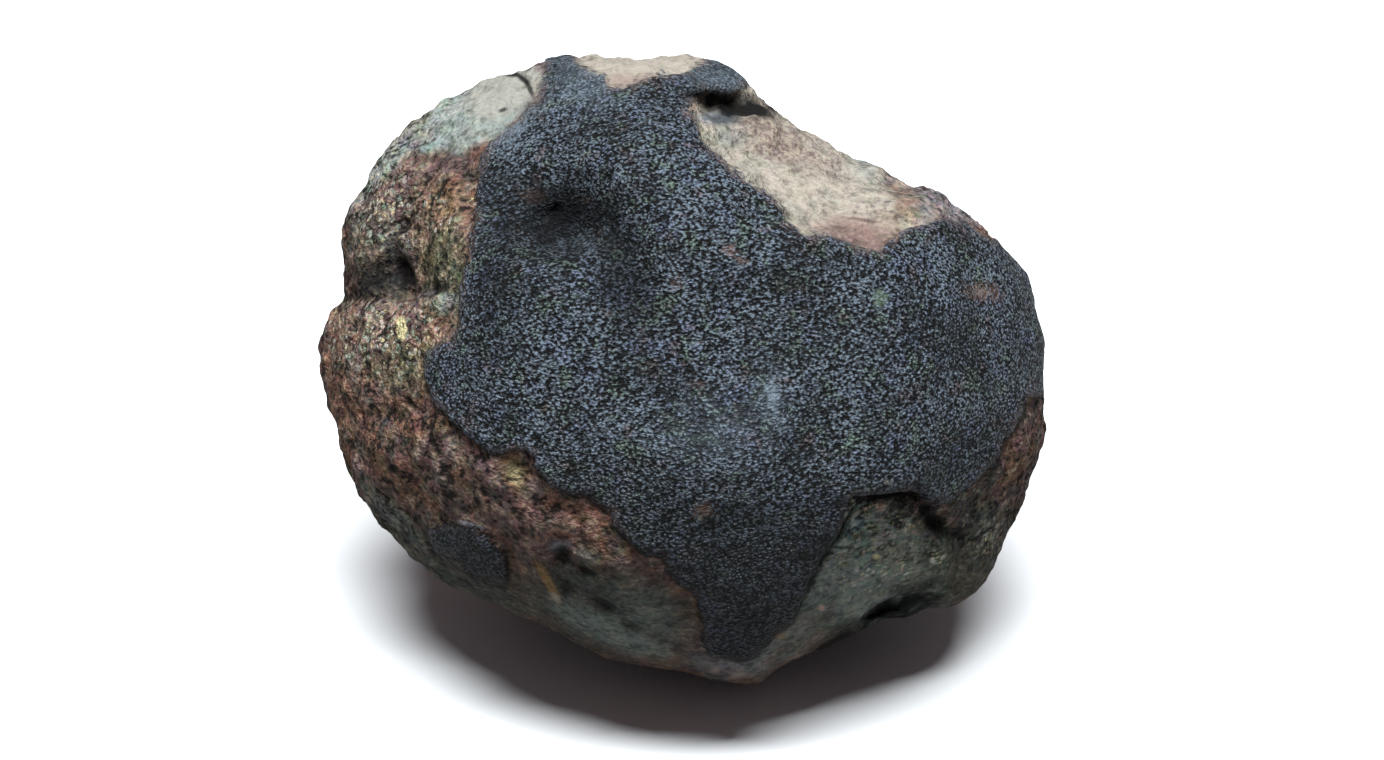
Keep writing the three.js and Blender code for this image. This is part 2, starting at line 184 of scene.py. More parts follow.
def ragged(corners, layers):
    """Soft noise at each corner, added up from layers of lumps."""
    total = np.zeros(len(corners))
    for share, size, seed in layers:
        shift = Vector((seed, 2.0 * seed, -seed))
        total += share * np.array([noise.noise(Vector(c) / (size * MM) + shift) for c in corners])
    return total


class StoneSettings(bpy.types.PropertyGroup):
    grain: bpy.props.FloatProperty(
        name="Mesh grain", description="Edge length of the fine surface mesh",
        default=0.60 * MM, min=0.3 * MM, unit="LENGTH", subtype="DISTANCE")
    facet_smoothing: bpy.props.IntProperty(
        name="Facet smoothing", description="Rounds of smoothing that take the solid's facets away",
        default=7, min=0, max=40)
    ledge: bpy.props.FloatProperty(
        name="Crust ledge", description="Height that the crust's sharp edge adds over the broken stone",
        default=0.35 * MM, unit="LENGTH", subtype="DISTANCE")
    broken_swell: bpy.props.FloatProperty(
        name="Broken swell", description="Height of the broken surface's wide lumps",
        default=1.8 * MM, unit="LENGTH", subtype="DISTANCE")
    broken_rough: bpy.props.FloatProperty(
        name="Broken roughness", description="Height of the broken surface's small lumps",
        default=1.1 * MM, unit="LENGTH", subtype="DISTANCE")
    crust_swell: bpy.props.FloatProperty(
        name="Crust swell", description="Height of the crust's wide lumps",
        default=1.0 * MM, unit="LENGTH", subtype="DISTANCE")
    crust_crinkle: bpy.props.FloatProperty(
        name="Crust crinkle", description="Height of the crust's small crinkles",
        default=0.3 * MM, unit="LENGTH", subtype="DISTANCE")
    # Near-black colour of the painted shade in the crust's creases, in hollows, cracks and pits, beside
    # the crust's edge and low on the crust.
    crust_black: bpy.props.FloatVectorProperty(
        name="Crust black", description="Colour in the crust's creases",
        default=(0.0008, 0.0009, 0.0012), size=3, min=0, max=1, subtype="COLOR")
    crust_slate: bpy.props.FloatVectorProperty(
        name="Crust slate", description="Colour on the crust's grains",
        default=(0.153, 0.188, 0.229), size=3, min=0, max=1, subtype="COLOR")
    crust_rust: bpy.props.FloatVectorProperty(
        name="Crust rust", description="Rusty tint in patches of the crust",
        default=(0.150, 0.105, 0.105), size=3, min=0, max=1, subtype="COLOR")
    crust_moss: bpy.props.FloatVectorProperty(
        name="Crust moss", description="Greenish tint in patches of the crust",
        default=(0.130, 0.180, 0.135), size=3, min=0, max=1, subtype="COLOR")
    crust_blue: bpy.props.FloatVectorProperty(
        name="Crust blue", description="Bluish tint in patches of the crust",
        default=(0.145, 0.175, 0.270), size=3, min=0, max=1, subtype="COLOR")
    # Painted highlight on the broken stone's high points.
    ridge_highlight: bpy.props.FloatVectorProperty(
        name="Pale grain", description="Colour of the broken stone's high points",
        default=(0.36, 0.275, 0.195), size=3, min=0, max=1, subtype="COLOR")
    rust_brown: bpy.props.FloatVectorProperty(
        name="Rust brown", description="Main colour of the broken stone",
        default=(0.150, 0.080, 0.052), size=3, min=0, max=1, subtype="COLOR")
    wine_brown: bpy.props.FloatVectorProperty(
        name="Wine brown", description="Purplish brown of the left side",
        default=(0.112, 0.068, 0.062), size=3, min=0, max=1, subtype="COLOR")
    olive: bpy.props.FloatVectorProperty(
        name="Olive", description="Yellowish green of the broken stone",
        default=(0.100, 0.092, 0.048), size=3, min=0, max=1, subtype="COLOR")
    dark_green: bpy.props.FloatVectorProperty(
        name="Dark green", description="Green-grey of the lower sides",
        default=(0.052, 0.060, 0.050), size=3, min=0, max=1, subtype="COLOR")
    pale_green: bpy.props.FloatVectorProperty(
        name="Pale green", description="Greenish grey of the upper left",
        default=(0.225, 0.255, 0.235), size=3, min=0, max=1, subtype="COLOR")
    cream: bpy.props.FloatVectorProperty(
        name="Cream", description="Cream of the fresh break",
        default=(0.320, 0.286, 0.240), size=3, min=0, max=1, subtype="COLOR")
    rose: bpy.props.FloatVectorProperty(
        name="Rose", description="Pinkish stain along the fresh break",
        default=(0.20, 0.128, 0.112), size=3, min=0, max=1, subtype="COLOR")
    facet_green: bpy.props.FloatVectorProperty(
        name="Facet green", description="Lighter green-grey of the chip low on the right",
        default=(0.178, 0.208, 0.188), size=3, min=0, max=1, subtype="COLOR")
    # Also used as painted light on the crust's top and along the small crust's upper edge.
    worn_blue_and_light: bpy.props.FloatVectorProperty(
        name="Worn blue", description="Pale blue-grey where the crust is thin",
        default=(0.20, 0.25, 0.30), size=3, min=0, max=1, subtype="COLOR")
    ochre: bpy.props.FloatVectorProperty(
        name="Ochre", description="Yellow-brown flecks and streaks",
        default=(0.27, 0.165, 0.065), size=3, min=0, max=1, subtype="COLOR")
    white_grain: bpy.props.FloatVectorProperty(
        name="White grain", description="Whitish flecks of bright minerals",
        default=(0.62, 0.62, 0.55), size=3, min=0, max=1, subtype="COLOR")
    yellow_grain: bpy.props.FloatVectorProperty(
        name="Yellow grain", description="Yellow flecks of bright minerals",
        default=(0.62, 0.55, 0.30), size=3, min=0, max=1, subtype="COLOR")
    green_grain: bpy.props.FloatVectorProperty(
        name="Green grain", description="Green flecks of bright minerals",
        default=(0.30, 0.42, 0.30), size=3, min=0, max=1, subtype="COLOR")
    pink_grain: bpy.props.FloatVectorProperty(
        name="Pink grain", description="Pinkish flecks of bright minerals",
        default=(0.60, 0.40, 0.33), size=3, min=0, max=1, subtype="COLOR")


class StageSettings(bpy.types.PropertyGroup):
    floor_tone: bpy.props.FloatVectorProperty(
        name="Floor", description="Colour of the plain floor",
        default=(0.88, 0.88, 0.89), size=3, min=0, max=1, subtype="COLOR")
    overhead_power: bpy.props.FloatProperty(
        name="Overhead power", description="Power of the lamp above and a little in front of the stone",
        default=90.0, min=0, unit="POWER")
    fill_strength: bpy.props.FloatProperty(
        name="Fill", description="Brightness of the even light from all round",
        default=0.10, min=0)
    fill_tint: bpy.props.FloatVectorProperty(
        name="Fill tint", description="Colour of the even light from all round",
        default=(1.0, 0.82, 0.88), size=3, min=0, max=1, subtype="COLOR")
    floor_bounce: bpy.props.FloatProperty(
        name="Floor bounce", description="How much of the light the floor throws back at the stone",
        default=0.26, min=0, max=1)


# Regions of the broken stone: colour, place [right, up], half sizes, turn, edge softness, share.
BROKEN_REGIONS = [
    ("wine_brown", (-39.0, 27.0), (9.0, 9.0), 0, 0.35, 0.9),
    ("dark_green", (-43.5, 17.5), (4.0, 8.0), 8, 0.4, 0.6),
    ("ochre", (-34.0, 24.5), (3.6, 3.4), 0, 0.5, 0.35),
    ("olive", (-33.9, 15.5), (3.4, 6.5), 8, 0.35, 0.85),
    ("dark_green", (-34.0, 14.5), (2.6, 4.5), 8, 0.8, 0.35),
    ("pale_green", (-34.6, 10.7), (2.4, 1.4), 0, 0.4, 0.6),
    ("rose", (-43.0, 6.5), (6.0, 4.5), 0, 0.6, 0.45),
    ("olive", (-38.6, 1.8), (5.0, 3.0), 10, 0.5, 0.75),
    ("rose", (-25.0, -16.0), (9.5, 6.5), -35, 0.8, 0.5),
    ("ochre", (-24.5, -12.4), (1.6, 2.6), 15, 0.6, 0.6),
    ("dark_green", (-12.6, -31.6), (12.0, 6.0), -18, 0.6, 0.9),
    ("dark_green", (-40.5, -23.5), (9.0, 5.5), -35, 0.6, 0.9),
    ("dark_green", (-31.0, -29.0), (9.0, 3.5), -20, 0.6, 0.9),
    ("rose", (6.7, -39.6), (2.8, 1.8), 0, 0.7, 0.25),
    ("worn_blue_and_light", (5.5, -38.6), (4.5, 2.4), 0, 0.8, 0.4),
    ("pink_grain", (-21.6, 40.8), (0.9, 1.9), 0, 0.6, 0.5),
    ("facet_green", (-6.0, -33.0), (6.0, 3.5), -28, 0.7, 0.35),
    ("facet_green", (-11.5, -34.4), (8.0, 1.9), -25, 0.5, 0.7),
    # A painted rim light along the lower left edge.
    ("facet_green", (-41.0, -18.5), (6.0, 1.2), -48, 0.5, 0.5),
    ("dark_green", (24.0, -25.5), (14.0, 11.5), -30, 0.3, 0.95),
    ("dark_green", (37.5, -23.0), (8.0, 7.5), -30, 0.5, 0.85),
    ("facet_green", (23.5, -25.0), (11.0, 7.6), -30, 0.25, 0.95),
    ("facet_green", (12.5, -35.0), (7.0, 3.5), 38, 0.5, 0.6),
    ("pale_green", (-29.0, 38.0), (8.5, 5.0), 33, 0.2, 0.95),
    ("pale_green", (-40.8, 31.4), (9.5, 1.5), 48, 0.4, 0.75),
    ("cream", (-26.4, 39.4), (5.6, 3.0), 25, 0.35, 0.85),
    ("pale_green", (-26.4, 39.4), (6.0, 3.4), 25, 0.5, 0.35),
    ("cream", (-7.1, 43.0), (10.0, 4.0), 0, 0.4, 0.95),
    ("rose", (-9.0, 41.2), (5.0, 1.0), 0, 0.6, 0.5),
    ("cream", (6.5, 41.2), (3.4, 3.6), -40, 0.4, 0.9),
    ("cream", (14.8, 28.5), (18.0, 8.5), -34, 0.30, 0.97),
    ("rose", (23.5, 19.8), (6.5, 2.4), -12, 0.5, 0.85),
    ("wine_brown", (24.0, 18.9), (5.5, 1.5), -12, 0.8, 0.5),
    ("rose", (35.0, 24.5), (6.5, 3.0), -22, 0.6, 0.4),
    ("worn_blue_and_light", (35.5, 24.5), (5.5, 2.6), -22, 0.7, 0.4),
    ("rust_brown", (11.5, 33.2), (7.0, 2.4), -32, 0.8, 0.35),
    ("pale_green", (5.0, 33.6), (2.0, 1.6), 0, 0.6, 0.5),
    ("wine_brown", (33.4, -17.4), (4.5, 1.5), -40, 0.6, 0.7),
    ("pale_green", (23.8, 29.5), (2.4, 1.4), -30, 0.7, 0.5),
    ("olive", (32.5, -25.0), (7.0, 4.0), -25, 0.9, 0.35),
]

# Parts of the broken stone that are smoother than the rest, in the same terms without a colour.
CALM_PARTS = [
    ((-26.0, 39.0), (7.0, 4.6), 28, 0.4, 0.85),
    ((-31.0, 35.0), (6.0, 4.5), 35, 0.6, 0.6),
    ((-7.0, 43.0), (11.0, 5.0), 0, 0.4, 0.85),
    ((14.8, 28.5), (20.0, 9.5), -34, 0.4, 0.68),
]

# Parts of the broken stone thick with small pale flecks, in the same terms.
FLECKED_PARTS = [
    ((24.0, -24.0), (9.5, 6.0), -30, 0.5, 0.45),
    ((23.0, -17.3), (2.0, 1.1), 0, 0.6, 1.0),
    ((21.3, -20.6), (1.3, 2.2), 0, 0.6, 0.9),
    ((24.6, -26.2), (2.6, 1.3), 0, 0.6, 1.0),
    ((29.2, -26.4), (1.4, 1.4), 0, 0.6, 1.0),
    ((33.6, -24.7), (1.3, 1.3), 0, 0.6, 1.0),
    ((28.2, -20.0), (3.0, 1.5), 0, 0.7, 0.8),
    ((36.5, -14.5), (3.5, 1.6), 0, 0.7, 0.8),
    ((41.0, -22.0), (1.5, 2.5), -20, 0.7, 0.8),
    ((-35.9, 24.5), (1.4, 0.8), 0, 0.6, 0.8),
    ((-30.3, 25.4), (0.8, 1.4), 0, 0.6, 0.9),
    ((-33.9, 21.4), (2.4, 1.0), 0, 0.6, 1.0),
    ((-33.8, 14.0), (1.0, 0.6), 0, 0.6, 1.0),
    ((-42.5, 24.0), (4.5, 7.0), 0, 0.6, 0.6),
    ((-42.0, 6.0), (7.0, 4.5), 0, 0.6, 0.9),
]

# Parts of the pale stone thick with small brown grains, in the same terms.
BROWNED_PARTS = [
    ((11.5, 33.2), (6.5, 3.2), -30, 0.7, 1.0),
    ((18.0, 30.2), (6.0, 2.0), -34, 0.8, 0.8),
    ((24.0, 24.5), (6.0, 2.0), -30, 0.8, 0.6),
]

# Hollows and cracks with painted shade laid in them: place, half sizes, turn, edge softness, share of
# painted shade, depth in mm. Those of no depth are painted shade alone.
HOLLOWS = [
    ((-40.5, 14.8), (3.2, 1.6), -80, 0.6, 0.95, 2.0),
    ((-43.6, 14.0), (4.6, 2.2), 0, 0.7, 0.8, 0.6),
    ((-40.2, 21.4), (1.3, 0.9), 0, 0.7, 0.7, 0.7),
    ((-44.4, 11.7), (4.6, 1.0), 5, 0.8, 0.7, 0.9),
    ((-36.0, 12.6), (2.4, 0.8), 0, 0.8, 0.6, 0.5),
    ((-39.1, -3.0), (1.4, 0.5), -45, 0.5, 0.8, 0.5),
    ((-33.5, 31.0), (2.8, 0.6), 8, 0.8, 0.5, 0.3),
    ((-32.0, 40.2), (1.2, 0.5), 45, 0.8, 0.6, 0.4),
    ((-23.8, 41.8), (1.6, 0.5), -25, 0.7, 0.5, 0.4),
    ((5.2, 38.2), (3.9, 1.6), -8, 0.55, 0.98, 1.4),
    ((0.6, 39.3), (2.2, 0.5), 2, 0.6, 0.9, 0.4),
    ((8.2, 37.8), (3.0, 1.5), -18, 0.5, 0.98, 0.5),
    ((4.4, 36.5), (2.4, 1.3), 0, 0.6, 0.72, 0.6),
    ((26.6, -16.1), (4.8, 0.55), 6, 0.6, 0.92, 0.6),
    ((21.0, -20.1), (3.2, 0.4), 63, 0.6, 0.85, 0.3),
    ((18.4, -24.4), (2.3, 0.5), 56, 0.6, 0.9, 0.4),
    ((16.0, -28.8), (3.4, 0.35), 65, 0.7, 0.7, 0.2),
    ((30.9, -16.4), (1.5, 0.6), -35, 0.6, 0.8, 0.7),
    ((32.4, -18.2), (2.0, 1.0), -55, 0.6, 0.85, 1.0),
    ((34.4, -20.2), (2.8, 1.4), -38, 0.6, 0.95, 1.5),
    ((36.8, -21.4), (1.8, 0.6), -20, 0.7, 0.75, 0.7),
    ((28.8, -32.2), (5.6, 2.1), 18, 0.5, 0.97, 1.3),
    ((31.0, -28.6), (4.0, 0.9), 15, 0.8, 0.6, 0.4),
    ((19.0, -36.8), (5.5, 0.9), 30, 0.6, 0.85, 0.4),
    ((-18.0, -24.7), (1.3, 1.6), 10, 0.5, 0.75, 0.8),
    ((-17.4, -28.6), (0.7, 1.0), 10, 0.7, 0.6, 0.3),
    ((-14.9, -26.2), (1.6, 0.55), -28, 0.6, 0.85, 0.4),
    ((-12.2, -31.3), (2.2, 0.7), -22, 0.7, 0.8, 0.4),
    ((-8.5, -33.8), (1.6, 0.7), -20, 0.8, 0.6, 0.3),
    ((-19.3, 23.3), (2.4, 1.5), 8, 0.6, 1.0, 1.8),
    ((-17.8, 22.4), (8.8, 5.6), 6, 0.8, 0.90, 0.9),
    ((-18.2, 23.0), (5.6, 3.2), 8, 0.8, 0.97, 1.2),
    ((-9.8, 15.5), (3.8, 9.5), 20, 0.8, 0.74, 0.4),
    ((-27.0, 13.0), (3.2, 9.0), 0, 0.9, 0.35, 0.0),
    ((6.0, 12.5), (8.0, 2.0), 20, 0.9, 0.25, 0.0),
]

# Thin cracks and small pits, in the same terms as the regions. The black ones are painted shade in the
# cracks and pits, and the long black one under the chip's crust edge is a painted shadow of that ledge.
CRACKS = [
    ("crust_black", (-24.8, 42.1), (1.0, 0.34), 0, 0.5, 0.9),
    ("crust_black", (-23.3, 41.5), (1.2, 0.36), -38, 0.5, 0.9),
    ("crust_black", (-22.4, 40.2), (1.2, 0.32), -65, 0.5, 0.85),
    ("crust_black", (-26.1, 37.2), (0.55, 0.28), 20, 0.5, 0.8),
    ("crust_black", (-41.2, -12.2), (0.7, 0.55), -30, 0.5, 0.95),
    # Painted shadow under the crust's ledge above the chip.
    ("crust_black", (26.8, -15.9), (4.4, 0.35), 11, 0.5, 0.9),
    ("crust_black", (21.0, -23.1), (1.7, 0.25), 0, 0.6, 0.6),
    ("wine_brown", (23.4, 22.1), (2.1, 0.22), -8, 0.5, 0.7),
]

# Flecks of other minerals in the broken stone, in the same terms as the regions. One thin pale line is a
# painted highlight instead.
BROKEN_FLECKS = [
    ("yellow_grain", (-40.0, 7.0), (0.75, 1.6), 5, 0.25, 0.95),
    ("cream", (-46.2, 1.6), (0.5, 0.5), 0, 0.4, 0.8),
    ("cream", (-44.6, -2.9), (0.5, 0.5), 0, 0.4, 0.8),
    ("ochre", (-20.0, -27.6), (0.6, 2.8), 30, 0.5, 0.85),
    ("cream", (-18.8, -30.0), (0.4, 0.8), 40, 0.6, 0.7),
    ("worn_blue_and_light", (-18.4, -22.9), (1.3, 0.6), 10, 0.6, 0.4),
    # Painted highlight along the small crust's top edge.
    ("worn_blue_and_light", (-30.4, -20.0), (2.0, 0.3), -15, 0.6, 0.6),
    ("yellow_grain", (-24.4, -12.8), (0.8, 1.5), 10, 0.9, 0.45),
    ("pink_grain", (26.0, -17.5), (0.65, 0.5), -20, 0.6, 0.75),
    ("yellow_grain", (25.4, -24.4), (0.45, 0.4), 0, 0.6, 0.7),
    ("white_grain", (33.2, -24.9), (0.4, 0.4), 0, 0.6, 0.7),
    ("pink_grain", (17.9, -31.4), (0.42, 0.38), 0, 0.6, 0.7),
    ("ochre", (12.1, -35.3), (0.8, 0.5), 0, 0.6, 0.5),
    ("cream", (6.4, -40.6), (0.9, 0.4), 0, 0.7, 0.7),
    ("cream", (3.2, -39.9), (0.6, 0.4), 0, 0.7, 0.5),
    ("worn_blue_and_light", (3.8, 36.1), (2.7, 0.8), 0, 0.6, 0.6),
]

# Places where the crust is chipped, worn or dusted, and a few spots of painted light and painted glints,
# in the same terms.
CRUST_CHIPS = [
    ("worn_blue_and_light", (-25.5, 35.0), (3.8, 1.8), 42, 0.9, 0.45),
    # The next two are painted light on the crust's top, where it faces up.
    ("worn_blue_and_light", (-15.0, 41.0), (4.0, 3.0), 0, 1.0, 0.22),
    ("worn_blue_and_light", (4.0, 41.0), (5.0, 2.0), -15, 1.0, 0.22),
    ("rust_brown", (40.0, 12.1), (2.0, 1.0), -10, 0.8, 0.55),
    ("cream", (39.8, 12.2), (0.8, 0.5), -10, 0.8, 0.35),
    ("rose", (5.2, 17.9), (1.0, 0.6), -25, 0.8, 0.5),
    ("rose", (6.9, 16.6), (0.8, 0.5), -25, 0.8, 0.5),
    ("rose", (-1.9, 13.3), (0.7, 0.8), 0, 0.9, 0.25),
    ("rust_brown", (-22.1, 25.4), (1.2, 0.8), 0, 0.8, 0.5),
    ("rust_brown", (-14.7, 24.7), (1.3, 0.6), 0, 0.8, 0.3),
    ("rose", (0.8, -0.5), (0.8, 0.5), 0, 0.8, 0.2),
    ("crust_moss", (25.8, 11.3), (0.9, 0.9), 0, 0.8, 0.6),
    ("rust_brown", (1.5, -18.0), (1.2, 0.9), 0, 0.8, 0.5),
    # A painted glint.
    ("cream", (1.1, -19.1), (0.4, 0.4), 0, 0.6, 0.5),
    ("worn_blue_and_light", (11.2, -2.4), (0.7, 2.4), 4, 0.8, 0.55),
    ("worn_blue_and_light", (11.0, -3.0), (1.6, 4.0), 0, 1.0, 0.15),
    ("worn_blue_and_light", (3.5, -7.5), (8.0, 4.0), 0, 1.0, 0.12),
    # A painted glint.
    ("cream", (26.9, -14.0), (0.5, 0.4), 0, 0.6, 0.4),
]

# Grains scattered over the broken stone: size in mm, share kept, fill, colour and strength.
LIVELY_GRAINS = (
    (1.3, 0.25, 0.60, "dark_green", 0.55),
    (1.0, 0.20, 0.60, "olive", 0.50),
    (1.2, 0.12, 0.55, "rose", 0.35),
)
BRIGHT_GRAINS = (
    (0.80, 0.22, 0.62, "white_grain", 0.75),
    (0.60, 0.16, 0.60, "yellow_grain", 0.80),
    (0.75, 0.16, 0.62, "green_grain", 0.70),
    (0.50, 0.10, 0.60, "pink_grain", 0.80),
)
BROWN_GRAINS = (
    (0.9, 0.45, 0.62, "crust_rust", 0.80),
    (0.6, 0.36, 0.60, "wine_brown", 0.75),
)


class Wiring:
    """Adds nodes to one node tree and joins them."""

    def __init__(self, tree):
        self.tree = tree

    def node(self, kind, inputs=None, **values):
        made = self.tree.nodes.new(kind)
        for name, value in values.items():
            setattr(made, name, value)
        for name, value in (inputs or {}).items():
            self.feed(made.inputs[name], value)
        return made

    def feed(self, socket, value):
        if isinstance(value, bpy.types.NodeSocket):
            self.tree.links.new(value, socket)
        else:
            socket.default_value = value

    def sum(self, operation, first, second=0.0, third=0.0, clamp=False):
        made = self.node("ShaderNodeMath", operation=operation, use_clamp=clamp)
        for socket, value in zip(made.inputs, (first, second, third)):
            self.feed(socket, value)
        return made.outputs[0]

    def mixed(self, share, under, over, blend="MIX"):
        made = self.node("ShaderNodeMix", data_type="RGBA", blend_type=blend)
        self.feed(made.inputs["Factor"], share)
        self.feed(made.inputs["A"], under)
        self.feed(made.inputs["B"], over)
        return made.outputs["Result"]

    def ramp(self, value, low, high, out_low=0.0, out_high=1.0, smooth=True):
        made = self.node("ShaderNodeMapRange", interpolation_type="SMOOTHSTEP" if smooth else "LINEAR")
        for name, number in (("From Min", low), ("From Max", high),
                             ("To Min", out_low), ("To Max", out_high)):
            self.feed(made.inputs[name], number)
        self.feed(made.inputs["Value"], value)
        return made.outputs["Result"]

    def stretched(self, vector, scale, shift=(0.0, 0.0, 0.0)):
        made = self.node("ShaderNodeMapping", {"Vector": vector, "Scale": scale, "Location": shift})
        return made.outputs[0]

    def painted(self, name):
        """A value that is painted on the mesh's corners."""
        return self.node("ShaderNodeAttribute", attribute_name=name).outputs["Fac"]

    def clouds(self, place, scale, detail, roughness=0.5, shift=(0.0, 0.0, 0.0)):
        """Soft noise between 0 and 1."""
        if any(shift):
            place = self.stretched(place, (1, 1, 1), shift)
        made = self.node("ShaderNodeTexNoise", {
            "Vector": place, "Scale": scale, "Detail": detail, "Roughness": roughness})
        return made.outputs["Fac"]


def new_group(name, inputs, outputs):
    """An empty shader node group with named sockets, its wiring and its two end nodes."""
    group = bpy.data.node_groups.new(name, "ShaderNodeTree")
    for socket, kind, default in inputs:
        made = group.interface.new_socket(socket, in_out="INPUT", socket_type=kind)
        if default is not None:
            made.default_value = default
    for socket, kind in outputs:
        group.interface.new_socket(socket, in_out="OUTPUT", socket_type=kind)
    wiring = Wiring(group)
    return group, wiring, wiring.node("NodeGroupInput"), wiring.node("NodeGroupOutput")


def soft_spot_group():
    """A spot with a soft, wandering edge at one place of the laying-out view."""
    group, w, start, end = new_group(
        "Soft Spot",
        [("Place", "NodeSocketVector", None), ("Middle", "NodeSocketVector", None),
         ("Half Size", "NodeSocketVector", (1.0, 1.0, 1.0)), ("Turn", "NodeSocketVector", None),
         ("Wander", "NodeSocketFloat", 0.0), ("Softness", "NodeSocketFloat", 0.5),
         ("Share", "NodeSocketFloat", 1.0)],
        [("Mask", "NodeSocketFloat")])
    placed = w.node("ShaderNodeMapping", {
        "Vector": start.outputs["Place"], "Location": start.outputs["Middle"],
        "Rotation": start.outputs["Turn"], "Scale": start.outputs["Half Size"]}, vector_type="TEXTURE")
    length = w.node("ShaderNodeVectorMath", {0: placed.outputs[0]}, operation="LENGTH").outputs["Value"]
    wandering = w.sum("ADD", length, start.outputs["Wander"])
    low = w.sum("SUBTRACT", 1.0, start.outputs["Softness"])
    high = w.sum("ADD", 1.0, start.outputs["Softness"])
    mask = w.ramp(wandering, low, high, 1.0, 0.0)
    w.feed(end.inputs["Mask"], w.sum("MULTIPLY", mask, start.outputs["Share"]))
    return group


def speckle_group():
    """Small scattered grains: a mask of those kept and a random tone for each."""
    group, w, start, end = new_group(
        "Mineral Grains",
        [("Place", "NodeSocketVector", None), ("Grain Size", "NodeSocketFloat", 1.0),
         ("Kept", "NodeSocketFloat", 0.3), ("Fill", "NodeSocketFloat", 0.5)],
        [("Mask", "NodeSocketFloat"), ("Tone", "NodeSocketFloat")])
    scale = w.sum("DIVIDE", 1.0, start.outputs["Grain Size"])
    wobble = w.node("ShaderNodeTexNoise", {
        "Vector": start.outputs["Place"], "Scale": w.sum("MULTIPLY", scale, 1.7), "Detail": 1.0})
    bent = w.node("ShaderNodeVectorMath", {
        0: wobble.outputs["Color"], 1: start.outputs["Place"]}, operation="MULTIPLY_ADD")
    w.feed(bent.inputs[1], w.node("ShaderNodeCombineXYZ", {
        "X": start.outputs["Grain Size"], "Y": start.outputs["Grain Size"],
        "Z": start.outputs["Grain Size"]}).outputs[0])
    w.feed(bent.inputs[2], start.outputs["Place"])
    cells = w.node("ShaderNodeTexVoronoi", {"Vector": bent.outputs[0], "Scale": scale})
    tones = w.node("ShaderNodeSeparateColor", {"Color": cells.outputs["Color"]})
    kept = w.sum("LESS_THAN", tones.outputs[0], start.outputs["Kept"])
    body = w.ramp(cells.outputs["Distance"], start.outputs["Fill"],
                  w.sum("MULTIPLY", start.outputs["Fill"], 0.6))
    w.feed(end.inputs["Mask"], w.sum("MULTIPLY", kept, body))
    w.feed(end.inputs["Tone"], tones.outputs[1])
    return group


def crust_group():
    """The melted crust: crinkled grains with black painted shade in the creases between them and painted
    glints on their tops, faintly tinted in patches.
    """
    group, w, start, end = new_group(
        "Melted Crust",
        [("Place", "NodeSocketVector", None), ("Crease Colour", "NodeSocketColor", (0, 0, 0, 1)),
         ("Grain Colour", "NodeSocketColor", (0, 0, 0, 1)),
         ("Rust Tint", "NodeSocketColor", (0, 0, 0, 1)),
         ("Moss Tint", "NodeSocketColor", (0, 0, 0, 1)),
         ("Blue Tint", "NodeSocketColor", (0, 0, 0, 1))],
        [("Colour", "NodeSocketColor"), ("Roughness", "NodeSocketFloat"), ("Height", "NodeSocketFloat")])
    place = start.outputs["Place"]
    crinkle = w.node("ShaderNodeTexNoise", {
        "Vector": w.stretched(place, (0.76, 0.95, 1.0)), "Scale": 2.9, "Detail": 2.0,
        "Roughness": 0.6, "Distortion": 0.2}).outputs["Fac"]
    grains = w.node("ShaderNodeTexVoronoi", {
        "Vector": w.stretched(place, (0.85, 1.05, 1.1)), "Scale": 2.3, "Smoothness": 0.35},
        feature="SMOOTH_F1").outputs["Distance"]
    slanting = w.node("ShaderNodeVectorRotate", {
        "Vector": place, "Axis": (0, 1, 0), "Angle": math.radians(FURROW_SLANT)}).outputs[0]
    furrows = w.node("ShaderNodeTexNoise", {
        "Vector": w.stretched(slanting, (0.34, 0.8, 1.0), (7, 3, 1)), "Scale": 1.5, "Detail": 2.0,
        "Roughness": 0.55}).outputs["Fac"]
    height = w.sum("ADD", crinkle, w.sum("MULTIPLY", grains, -0.5))
    height = w.sum("ADD", height, w.ramp(furrows, 0.50, 0.34, 0.02, -0.10))
    w.feed(end.inputs["Height"], height)
    grain = start.outputs["Grain Colour"]
    for tint, scale, shift, low, high, share in (
        ("Blue Tint", 0.24, (3.0, 51.0, 17.0), 0.48, 0.66, 0.75),
        ("Moss Tint", 0.34, (40.0, 12.0, 1.0), 0.52, 0.64, 0.8),
        ("Rust Tint", 0.30, (9.0, 2.0, 5.0), 0.56, 0.68, 0.75),
    ):
        patch = w.clouds(place, scale, 4.0, 0.65, shift)
        grain = w.mixed(w.ramp(patch, low, high, 0.0, share), grain, start.outputs[tint])
    wider = w.ramp(w.clouds(place, 0.13, 4.0), 0.34, 0.66, 0.62, 1.45)
    # The colour follows the height: black painted shade in the creases and furrows, painted glints on
    # the grains' tops.
    body = w.ramp(height, 0.13, 0.34, 0.0, 0.37)
    painted_glints = w.ramp(height, 0.33, 0.52, 0.0, 1.3, smooth=False)
    shade_and_light = w.sum("MULTIPLY", w.sum("ADD", body, painted_glints), wider)
    w.feed(end.inputs["Colour"], w.mixed(shade_and_light, start.outputs["Crease Colour"], grain))
    w.feed(end.inputs["Roughness"], w.ramp(height, 0.15, 0.45, 0.62, 0.28))
    return group


